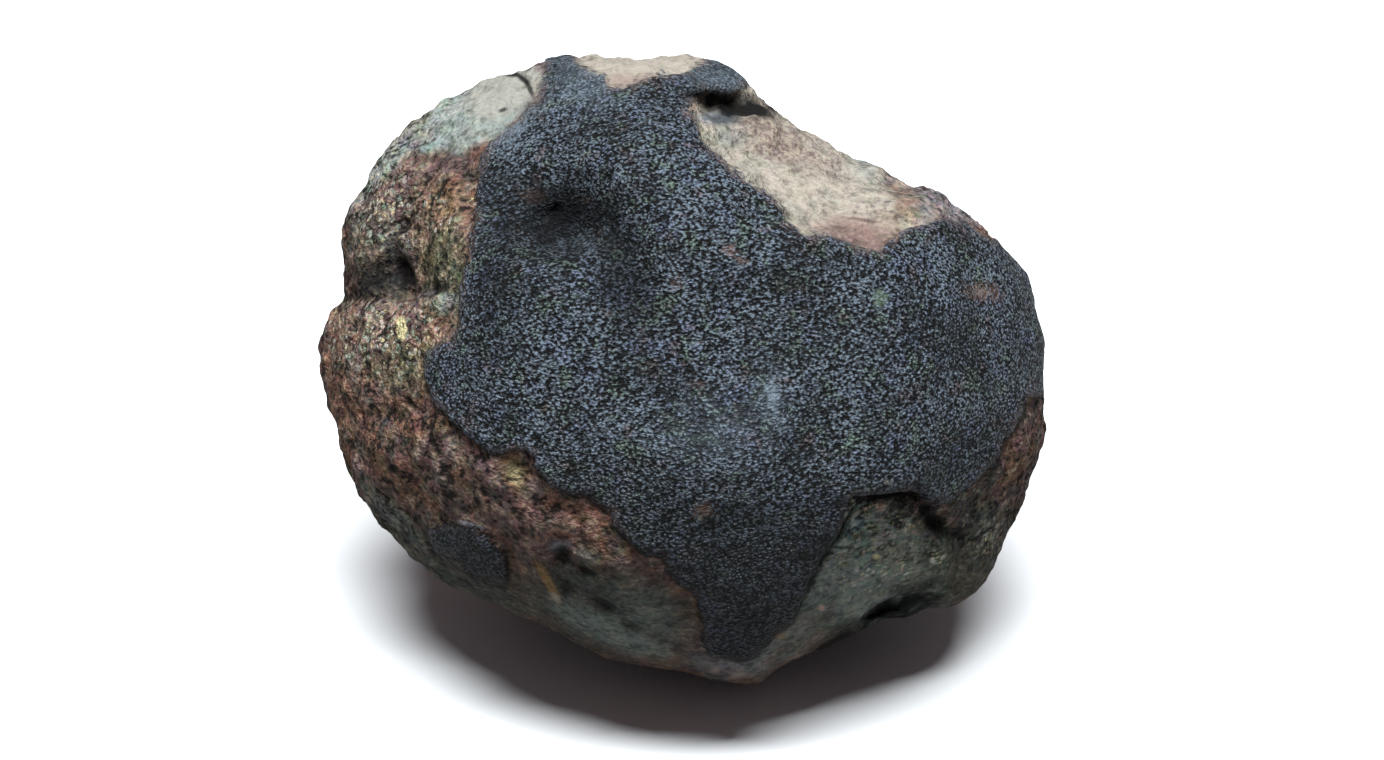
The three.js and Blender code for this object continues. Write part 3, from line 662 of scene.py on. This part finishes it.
def broken_relief_group():
    """The broken stone's fine relief, with a tone of painted shade and light that follows its height,
    and masks for the painted shade in its pits and the painted highlights on its high points.
    """
    group, w, start, end = new_group(
        "Broken Stone Relief",
        [("Place", "NodeSocketVector", None)],
        [("Height", "NodeSocketFloat"), ("Tone", "NodeSocketFloat"), ("Pits", "NodeSocketFloat"),
         ("High Points", "NodeSocketFloat")])
    place = start.outputs["Place"]
    rough = w.node("ShaderNodeTexNoise", {
        "Vector": w.stretched(place, (0.85, 1.0, 1.0)), "Scale": 1.2, "Detail": 3.5,
        "Roughness": 0.62}).outputs["Fac"]
    lumps = w.clouds(place, 0.36, 4.0, 0.6, (13, 5, 2))
    cells = w.node("ShaderNodeTexVoronoi", {
        "Vector": w.stretched(place, (0.85, 1.0, 1.1)), "Scale": 1.5}).outputs["Distance"]
    height = w.sum("ADD", rough, w.sum("MULTIPLY", cells, -0.22))
    height = w.sum("ADD", height, w.ramp(lumps, 0.35, 0.65, -0.15, 0.15, smooth=False))
    w.feed(end.inputs["Height"], w.sum("ADD", height, w.sum("MULTIPLY", lumps, 1.2)))
    w.feed(end.inputs["Tone"], w.ramp(height, 0.22, 0.56, 0.3, 1.7, smooth=False))
    w.feed(end.inputs["Pits"], w.ramp(height, 0.31, 0.20))
    w.feed(end.inputs["High Points"], w.ramp(height, 0.50, 0.60))
    return group


def settings():
    return bpy.context.scene.meteorite_stone


def stage_settings():
    return bpy.context.scene.meteorite_stage


def only(thing):
    """Selects one object alone and makes it the active one."""
    bpy.ops.object.select_all(action="DESELECT")
    thing.select_set(True)
    bpy.context.view_layer.objects.active = thing


def apply_modifier(thing, kind, **values):
    """Adds one modifier, sets it and applies it."""
    only(thing)
    made = thing.modifiers.new(kind.title(), kind)
    for name, value in values.items():
        setattr(made, name, value)
    bpy.ops.object.modifier_apply(modifier=made.name)


def cloud(name, size, depth):
    """A soft noise texture whose lumps are of the given size in mm."""
    made = bpy.data.textures.new(name, "CLOUDS")
    made.noise_scale = size * MM
    made.noise_depth = depth
    return made


def corners_of(mesh):
    found = np.empty(len(mesh.vertices) * 3)
    mesh.vertices.foreach_get("co", found)
    return found.reshape(-1, 3)


def weigh(thing, name, weights):
    """A vertex group with one weight per corner, set in a few steps of strength."""
    group = thing.vertex_groups.new(name=name)
    steps = np.round(weights * WEIGHT_STEPS).astype(int)
    for step in range(1, WEIGHT_STEPS + 1):
        chosen = np.nonzero(steps == step)[0]
        if len(chosen):
            group.add(chosen.tolist(), step / WEIGHT_STEPS, "REPLACE")


def spot_radius(across, upward, middle, half, turn):
    """Each place's distance from a spot's middle, with 1 on the spot's rim."""
    angle = math.radians(turn)
    along = (across - middle[0]) * math.cos(angle) + (upward - middle[1]) * math.sin(angle)
    aside = (upward - middle[1]) * math.cos(angle) - (across - middle[0]) * math.sin(angle)
    return np.hypot(along / half[0], aside / half[1])


def soft_mask(radius, softness):
    """A spot's mask: 1 inside, 0 outside, and even between them over its soft rim."""
    return np.clip((1 + softness - radius) / (2 * softness), 0, 1)


def eased(mask):
    """The same mask with a gentle start and end."""
    return mask * mask * (3 - 2 * mask)


def hollow_marks(corners):
    """Depth in mm of the front's hollows at each corner, and the painted shade laid in them."""
    across, upward, nearness = laid_out(corners)
    wander = ragged(corners, MARK_WANDER)
    depth, painted_shade = np.zeros(len(corners)), np.zeros(len(corners))
    for middle, half, turn, softness, share, deep in HOLLOWS:
        radius = spot_radius(across, upward, middle, half, turn)
        depth = np.maximum(depth, deep * np.clip(HOLLOW_RIM - radius, 0, 1))
        painted_shade = np.maximum(painted_shade, share * eased(soft_mask(radius + wander, softness)))
    front = nearness > BACK_STARTS
    return depth * front, painted_shade * front


def part_mark(corners, parts):
    """How strongly each corner of the front belongs to a list of parts."""
    across, upward, nearness = laid_out(corners)
    wander = ragged(corners, MARK_WANDER)
    mark = np.zeros(len(corners))
    for middle, half, turn, softness, share in parts:
        radius = spot_radius(across, upward, middle, half, turn) + 0.5 * wander
        mark = np.maximum(mark, share * soft_mask(radius, softness))
    return mark * (nearness > BACK_STARTS)


def region_paint(corners):
    """Colour and share of the broken stone's regions at each corner, laid one over the other."""
    across, upward, nearness = laid_out(corners)
    wander = REGION_RAGGEDNESS * ragged(corners, REGION_WANDER)
    paint = np.zeros((len(corners), 4))
    for colour, middle, half, turn, softness, share in BROKEN_REGIONS:
        radius = spot_radius(across, upward, middle, half, turn) + wander
        mask = share * eased(soft_mask(radius, softness))[:, None]
        paint = paint * (1 - mask) + np.array((*getattr(settings(), colour), 1.0)) * mask
    paint[:, :3] /= np.maximum(paint[:, 3:], 0.001)
    return paint


def write_attribute(mesh, name, kind, field, values):
    made = mesh.attributes.new(name, kind, "POINT")
    made.data.foreach_set(field, np.ascontiguousarray(values, dtype=np.float32).ravel())


def crust_reach(corners):
    """How far each corner lies inside the crust, in mm, with the edge's wandering added."""
    across, upward, nearness = laid_out(corners)
    large, small, back = (
        reach_inside(across, upward, outline) for outline in (LARGE_CRUST, SMALL_CRUST, BACK_CRUST))
    reach = np.where(nearness > BACK_STARTS, np.maximum(large, small), back)
    return reach + ragged(corners, EDGE_WANDER)


class METEORITE_OT_shape_stone(bpy.types.Operator):
    """Builds the stone's fine surface from a copy of the solid"""

    bl_idname = "meteorite.shape_stone"
    bl_label = "Shape the Stone"
    bl_options = {"REGISTER", "UNDO"}

    def smooth_copy(self, context):
        """A copy of the solid with an even fine mesh and without facets."""
        values = settings()
        only(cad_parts[STONE_NODE])
        bpy.ops.object.duplicate()
        stone = context.view_layer.objects.active
        stone.name = PIECE
        stone.data.name = PIECE
        bpy.ops.object.mode_set(mode="EDIT")
        bpy.ops.mesh.select_all(action="SELECT")
        bpy.ops.mesh.remove_doubles(threshold=MERGE_GAP * MM)
        bpy.ops.object.mode_set(mode="OBJECT")
        apply_modifier(stone, "REMESH", mode="VOXEL", voxel_size=values.grain)
        apply_modifier(stone, "SMOOTH", factor=0.5, iterations=values.facet_smoothing)
        return stone

    def weigh_relief(self, stone, corners, inside):
        """Says where the crust's and the broken stone's relief lie, away from the rest face."""
        crust = np.clip(inside / EDGE_WIDTH + 0.5, 0, 1)
        rest = np.clip((corners[:, 2] / MM - RELIEF_STARTS) / RELIEF_FADE, 0, 1)
        upward = laid_out(corners)[1]
        grown = np.clip((upward - LOW_RELIEF_TOP) / LOW_RELIEF_FADE, 0, 1)
        weigh(stone, "crust_relief", crust * rest)
        weigh(stone, "broken_relief", (1 - crust) * rest * (LOW_RELIEF + (1 - LOW_RELIEF) * grown))

    def add_relief(self, stone, depth):
        """Sinks the hollows, lifts the crust's ledge and adds the lumps."""
        values = settings()
        weigh(stone, "hollows", depth / depth.max())
        apply_modifier(stone, "DISPLACE", strength=-depth.max() * MM, mid_level=0.0,
                       vertex_group="hollows")
        apply_modifier(stone, "DISPLACE", strength=values.ledge, mid_level=0.0,
                       vertex_group="crust_relief")
        for name, size, noise_depth, where in RELIEF_LAYERS:
            apply_modifier(stone, "DISPLACE", texture=cloud(name, size, noise_depth),
                           texture_coords="LOCAL", strength=getattr(values, name), mid_level=0.5,
                           vertex_group=where)
        stone.vertex_groups.clear()

    def execute(self, context):
        stone = self.smooth_copy(context)
        smooth_corners = corners_of(stone.data)
        inside = crust_reach(smooth_corners)
        depth, painted_shade = hollow_marks(smooth_corners)
        self.weigh_relief(stone, smooth_corners, inside)
        self.add_relief(stone, depth)

        corners = corners_of(stone.data)
        write_attribute(stone.data, "laid_out", "FLOAT_VECTOR", "vector",
                        np.column_stack(laid_out(corners)))
        write_attribute(stone.data, "crust_reach", "FLOAT", "value", inside)
        write_attribute(stone.data, "painted_shade", "FLOAT", "value", painted_shade)
        for name, parts in (("calmness", CALM_PARTS), ("flecked", FLECKED_PARTS),
                            ("browned", BROWNED_PARTS)):
            write_attribute(stone.data, name, "FLOAT", "value", part_mark(smooth_corners, parts))
        write_attribute(stone.data, "region", "FLOAT_COLOR", "color", region_paint(corners))
        only(stone)
        bpy.ops.object.shade_smooth()
        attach(stone, "root")
        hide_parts(STONE_NODE)
        print("stone triangles", sum(len(p.vertices) - 2 for p in stone.data.polygons))
        return {"FINISHED"}


class METEORITE_OT_finish_stone(bpy.types.Operator):
    """Gives the stone its crust and broken surfaces"""

    bl_idname = "meteorite.finish_stone"
    bl_label = "Finish the Stone"
    bl_options = {"REGISTER", "UNDO"}

    def tinted(self, w, spot, place, wander, base, spots):
        """Lays coloured spots over a base colour, one after the other."""
        values = settings()
        for colour, middle, half, turn, softness, share in spots:
            mask = w.node("ShaderNodeGroup", node_tree=spot)
            w.feed(mask.inputs["Place"], place)
            w.feed(mask.inputs["Middle"], (*middle, 0.0))
            w.feed(mask.inputs["Half Size"], (*half, 1.0))
            w.feed(mask.inputs["Turn"], (0.0, 0.0, math.radians(turn)))
            w.feed(mask.inputs["Wander"], wander)
            w.feed(mask.inputs["Softness"], softness)
            w.feed(mask.inputs["Share"], share)
            base = w.mixed(mask.outputs["Mask"], base, (*getattr(values, colour), 1.0))
        return base

    def speckled(self, w, grains, place, base, kinds, where):
        """Lays scattered grains over a base colour, one kind after the other."""
        for size, kept, fill, colour, share in kinds:
            made = w.node("ShaderNodeGroup", node_tree=grains)
            w.feed(made.inputs["Place"], w.stretched(place, (1, 1, 1), (size * 17, kept * 50, 3)))
            w.feed(made.inputs["Grain Size"], size)
            w.feed(made.inputs["Kept"], kept)
            w.feed(made.inputs["Fill"], fill)
            mask = w.sum("MULTIPLY", made.outputs["Mask"], w.sum("MULTIPLY", where, share))
            base = w.mixed(mask, base, (*getattr(settings(), colour), 1))
        return base

    def read_marks(self, w):
        """The places, masks and edge noises that the crust and the broken stone share."""
        marks = SimpleNamespace(spot=soft_spot_group(), grains=speckle_group())
        own = w.node("ShaderNodeTexCoord").outputs["Object"]
        in_mm = w.node("ShaderNodeVectorMath", {0: own, "Scale": 1 / MM}, operation="SCALE")
        marks.place = in_mm.outputs[0]
        laid = w.node("ShaderNodeAttribute", attribute_name="laid_out").outputs["Vector"]
        apart = w.node("ShaderNodeSeparateXYZ", {"Vector": laid})
        marks.up = apart.outputs["Y"]
        marks.flat = w.node("ShaderNodeCombineXYZ", {
            "X": apart.outputs["X"], "Y": marks.up, "Z": 0.0}).outputs[0]
        marks.wander_noise = w.clouds(marks.place, 0.30, 6.0, 0.68)
        marks.wander = w.ramp(marks.wander_noise, 0.25, 0.75, -0.6, 0.6, smooth=False)
        marks.fine_edge = w.clouds(marks.place, 1.6, 2.0)
        marks.upper = w.ramp(marks.up, -2.0, 10.0)
        edge_share = w.ramp(marks.upper, 0.0, 1.0, 0.3, 0.5, smooth=False)
        edge_noise = w.ramp(marks.fine_edge, 0.3, 0.7, -1.0, 1.0, smooth=False)
        marks.reach = w.sum("ADD", w.painted("crust_reach"), w.sum("MULTIPLY", edge_noise, edge_share))
        edge_width = w.ramp(marks.upper, 0.0, 1.0, 0.11, 0.42, smooth=False)
        marks.is_crust = w.ramp(marks.reach, w.sum("MULTIPLY", edge_width, -1.0), edge_width)
        # Painted shade in the hollows and cracks.
        marks.dark = w.painted("painted_shade")
        marks.lively = w.sum("MULTIPLY", w.ramp(marks.up, -30.0, -16.0, 0.4, 1.0), w.sum(
            "SUBTRACT", 1.0, w.painted("calmness")))
        return marks

    def region_colour(self, w, marks):
        """The broken stone's blotches and regions, with small shifts of hue."""
        values = settings()
        blotch = w.clouds(marks.place, 0.16, 5.0, 0.66)
        green = w.clouds(marks.place, 0.22, 5.0, 0.66, (31, 7, 3))
        base = w.mixed(w.ramp(blotch, 0.45, 0.56), (*values.rust_brown, 1), (*values.wine_brown, 1))
        base = w.mixed(w.ramp(green, 0.54, 0.62, 0.0, 0.7), base, (*values.dark_green, 1))
        region = w.node("ShaderNodeAttribute", attribute_name="region")
        base = w.mixed(region.outputs["Alpha"], base, region.outputs["Color"])
        hues = w.node("ShaderNodeTexNoise", {
            "Vector": w.stretched(marks.place, (1, 1, 1), (5, 19, 77)), "Scale": 0.4, "Detail": 4.0,
            "Roughness": 0.62}).outputs["Color"]
        hues = w.node("ShaderNodeVectorMath", {
            0: hues, 1: (2.0, 1.1, 1.7), 2: (0.0, 0.43, 0.13)}, operation="MULTIPLY_ADD").outputs[0]
        share = w.ramp(marks.lively, 0.15, 0.9, 0.05, 0.6)
        return w.mixed(share, base, w.mixed(1.0, base, hues, "MULTIPLY"))

    def broken_stone(self, w, marks):
        """Colour and height of the broken stone."""
        values = settings()
        black = (*values.crust_black, 1)
        relief = w.node("ShaderNodeGroup", node_tree=broken_relief_group())
        w.feed(relief.inputs["Place"], marks.place)
        base = self.region_colour(w, marks)
        base = self.speckled(w, marks.grains, marks.place, base, LIVELY_GRAINS, marks.lively)
        # Painted shade in the low places and painted light on the high places of the fine relief.
        shade_and_light = relief.outputs["Tone"]
        grey = w.node("ShaderNodeCombineColor", {"Red": shade_and_light, "Green": shade_and_light, "Blue": shade_and_light}).outputs[0]
        base = w.mixed(marks.lively, base, w.mixed(1.0, base, grey, "MULTIPLY"))
        # Painted highlights on the high points.
        high = w.sum("MULTIPLY", relief.outputs["High Points"], w.sum("MULTIPLY", marks.lively, 0.6))
        base = w.mixed(high, base, (*values.ridge_highlight, 1))
        base = self.speckled(w, marks.grains, marks.place, base, BRIGHT_GRAINS, w.painted("flecked"))
        browned = w.ramp(w.painted("browned"), 0.0, 1.0)
        base = self.speckled(w, marks.grains, marks.place, base, BROWN_GRAINS, browned)
        small_wander = w.sum("MULTIPLY", marks.wander, 0.5)
        base = self.tinted(w, marks.spot, marks.flat, small_wander, base, BROKEN_FLECKS + CRACKS)
        # Painted shade in the pits.
        pit_shade = w.sum("MULTIPLY", relief.outputs["Pits"], w.sum("MULTIPLY", marks.lively, 0.65))
        base = w.mixed(pit_shade, base, black)
        # Painted shadow of the crust's ledge on the broken stone just beside it, stronger low down.
        shade = w.ramp(marks.upper, 0.0, 1.0, 0.75, 0.15)
        ledge_shadow = w.sum("MULTIPLY", w.ramp(marks.reach, -0.9, -0.05), shade)
        height = w.sum("MULTIPLY", relief.outputs["Height"], w.ramp(
            marks.lively, 0.0, 1.0, 0.2, 0.9, smooth=False))
        return w.mixed(ledge_shadow, base, black), height

    def melted_crust(self, w, marks):
        """Colour, roughness and height of the crust."""
        values = settings()
        black = (*values.crust_black, 1)
        melted = w.node("ShaderNodeGroup", node_tree=crust_group())
        w.feed(melted.inputs["Place"], marks.place)
        for socket, colour in (
            ("Crease Colour", values.crust_black), ("Grain Colour", values.crust_slate),
            ("Rust Tint", values.crust_rust), ("Moss Tint", values.crust_moss),
            ("Blue Tint", values.crust_blue),
        ):
            w.feed(melted.inputs[socket], (*colour, 1))
        fringe = w.sum("MULTIPLY", w.ramp(marks.reach, 1.4, 0.2), w.ramp(
            marks.wander_noise, 0.4, 0.62, 0.0, 0.5))
        base = w.mixed(fringe, melted.outputs["Colour"], (*values.crust_rust, 1))
        # Painted shade: the crust is darker towards the bottom, where it faces down.
        base = w.mixed(w.ramp(marks.up, -26.0, -8.0, 0.6, 0.0), base, black)
        chip_wander = w.sum("ADD", w.sum("MULTIPLY", marks.wander, 0.9), w.ramp(
            marks.fine_edge, 0.3, 0.7, -0.5, 0.5))
        base = self.tinted(w, marks.spot, marks.flat, chip_wander, base, CRUST_CHIPS)
        height = w.sum("MULTIPLY", melted.outputs["Height"], CRUST_BUMP)
        return base, melted.outputs["Roughness"], w.sum("ADD", height, CRUST_STEP)

    def execute(self, context):
        material = bpy.data.materials.new("crusted_stone")
        material.use_nodes = True
        material.node_tree.nodes.clear()
        w = Wiring(material.node_tree)
        marks = self.read_marks(w)
        broken_colour, broken_height = self.broken_stone(w, marks)
        crust_colour, crust_roughness, crust_height = self.melted_crust(w, marks)

        colour = w.mixed(marks.is_crust, broken_colour, crust_colour)
        # Painted shade in the hollows and cracks, laid over both surfaces.
        colour = w.mixed(marks.dark, colour, (*settings().crust_black, 1))
        smoother = w.sum("SUBTRACT", crust_roughness, BROKEN_ROUGHNESS)
        roughness = w.sum("MULTIPLY_ADD", marks.is_crust, smoother, BROKEN_ROUGHNESS)
        roughness = w.sum("MULTIPLY_ADD", marks.dark, w.sum("SUBTRACT", 1.0, roughness), roughness)
        difference = w.sum("SUBTRACT", crust_height, broken_height)
        height = w.sum("MULTIPLY_ADD", marks.is_crust, difference, broken_height)
        bump = w.node("ShaderNodeBump", {"Height": height, "Strength": 1.0, "Distance": MM})
        shader = w.node("ShaderNodeBsdfPrincipled", {
            "Base Color": colour, "Roughness": roughness, "Normal": bump.outputs["Normal"]})
        shader.inputs["Specular IOR Level"].default_value = SPECULAR_LEVEL
        out = w.node("ShaderNodeOutputMaterial")
        w.feed(out.inputs["Surface"], shader.outputs["BSDF"])
        stone = bpy.data.objects[PIECE]
        stone.data.materials.clear()
        stone.data.materials.append(material)
        return {"FINISHED"}


class METEORITE_OT_set_stage(bpy.types.Operator):
    """Makes the plain floor, the soft lights and the camera"""

    bl_idname = "meteorite.set_stage"
    bl_label = "Set the Stage"
    bl_options = {"REGISTER", "UNDO"}

    def floor(self):
        """The plain floor, paler to the camera than to the light that falls on it."""
        values = stage_settings()
        bpy.ops.object.select_all(action="DESELECT")
        bpy.ops.mesh.primitive_plane_add(size=FLOOR_SIZE, location=(0, 0, 0))
        floor = bpy.context.view_layer.objects.active
        floor.name = "floor"
        material = bpy.data.materials.new("plain_floor")
        material.use_nodes = True
        shader = material.node_tree.nodes["Principled BSDF"]
        w = Wiring(material.node_tree)
        seen = w.node("ShaderNodeLightPath").outputs["Is Camera Ray"]
        bounce = values.floor_bounce
        w.feed(shader.inputs["Base Color"], w.mixed(
            seen, (bounce, bounce, bounce, 1), (*values.floor_tone, 1)))
        shader.inputs["Roughness"].default_value = FLOOR_ROUGHNESS
        floor.data.materials.append(material)

    def lamp(self):
        """One wide lamp above and a little in front of the stone."""
        bpy.ops.object.select_all(action="DESELECT")
        bpy.ops.object.light_add(type="AREA", location=LAMP_PLACE)
        lamp = bpy.context.view_layer.objects.active
        lamp.name = "overhead_lamp"
        lamp.data.shape = "ELLIPSE"
        lamp.data.size, lamp.data.size_y = LAMP_SIZE
        lamp.data.energy = stage_settings().overhead_power
        lamp.data.color = LAMP_COLOUR
        aim = Vector(LAMP_AIM) - Vector(LAMP_PLACE)
        lamp.rotation_mode = "QUATERNION"
        lamp.rotation_quaternion = aim.to_track_quat("-Z", "Y")

    def even_light(self, context):
        """Light from all round, stronger from above, and white where the camera sees it."""
        values = stage_settings()
        world = bpy.data.worlds.new("even_light")
        world.use_nodes = True
        w = Wiring(world.node_tree)
        seen = w.node("ShaderNodeLightPath").outputs["Is Camera Ray"]
        background = world.node_tree.nodes["Background"]
        w.feed(background.inputs["Color"], w.mixed(seen, (*values.fill_tint, 1), (1, 1, 1, 1)))
        direction = w.node("ShaderNodeSeparateXYZ", {
            "Vector": w.node("ShaderNodeTexCoord").outputs["Generated"]})
        from_above = w.ramp(direction.outputs["Z"], 0.0, 1.0, 0.1, 1.7, smooth=False)
        fill = w.sum("MULTIPLY", from_above, values.fill_strength)
        w.feed(background.inputs["Strength"], w.sum("MAXIMUM", fill, seen))
        context.scene.world = world

    def camera(self, context):
        """The camera at the laying-out view's place."""
        right, up, near = (Vector(axis) for axis in view_axes())
        bpy.ops.object.select_all(action="DESELECT")
        bpy.ops.object.camera_add()
        camera = context.view_layer.objects.active
        camera.name = "front_camera"
        camera.data.sensor_width = SENSOR_WIDTH
        camera.data.lens = CAMERA_LENS
        camera.data.clip_start, camera.data.clip_end = CAMERA_CLIPS
        turn = Matrix((right, up, near)).transposed()
        place = (Vector(VIEW_MIDDLE) + near * VIEW_DISTANCE) * MM
        camera.matrix_world = Matrix.Translation(place) @ turn.to_4x4()
        context.scene.camera = camera

    def execute(self, context):
        self.floor()
        self.lamp()
        self.even_light(context)
        self.camera(context)
        context.scene.view_settings.view_transform = "Standard"
        return {"FINISHED"}


class METEORITE_PT_sidebar(bpy.types.Panel):
    """Lists the meteorite's settings and steps"""

    bl_idname = "METEORITE_PT_sidebar"
    bl_label = "Meteorite"
    bl_space_type = "VIEW_3D"
    bl_region_type = "UI"
    bl_category = "Meteorite"

    def draw(self, context):
        for group in (context.scene.meteorite_stone, context.scene.meteorite_stage):
            for name in group.__annotations__:
                self.layout.prop(group, name)
        for operator in OPERATORS:
            self.layout.operator(operator.bl_idname)


OPERATORS = (METEORITE_OT_shape_stone, METEORITE_OT_finish_stone, METEORITE_OT_set_stage)
CLASSES = (StoneSettings, StageSettings, *OPERATORS, METEORITE_PT_sidebar)


def register():
    for each in CLASSES:
        bpy.utils.register_class(each)
    bpy.types.Scene.meteorite_stone = bpy.props.PointerProperty(type=StoneSettings)
    bpy.types.Scene.meteorite_stage = bpy.props.PointerProperty(type=StageSettings)


def unregister():
    del bpy.types.Scene.meteorite_stage
    del bpy.types.Scene.meteorite_stone
    for each in reversed(CLASSES):
        bpy.utils.unregister_class(each)


def main():
    register()
    bpy.ops.meteorite.shape_stone()
    bpy.ops.meteorite.finish_stone()
    bpy.ops.meteorite.set_stage()


if __name__ == "__main__":
    main()
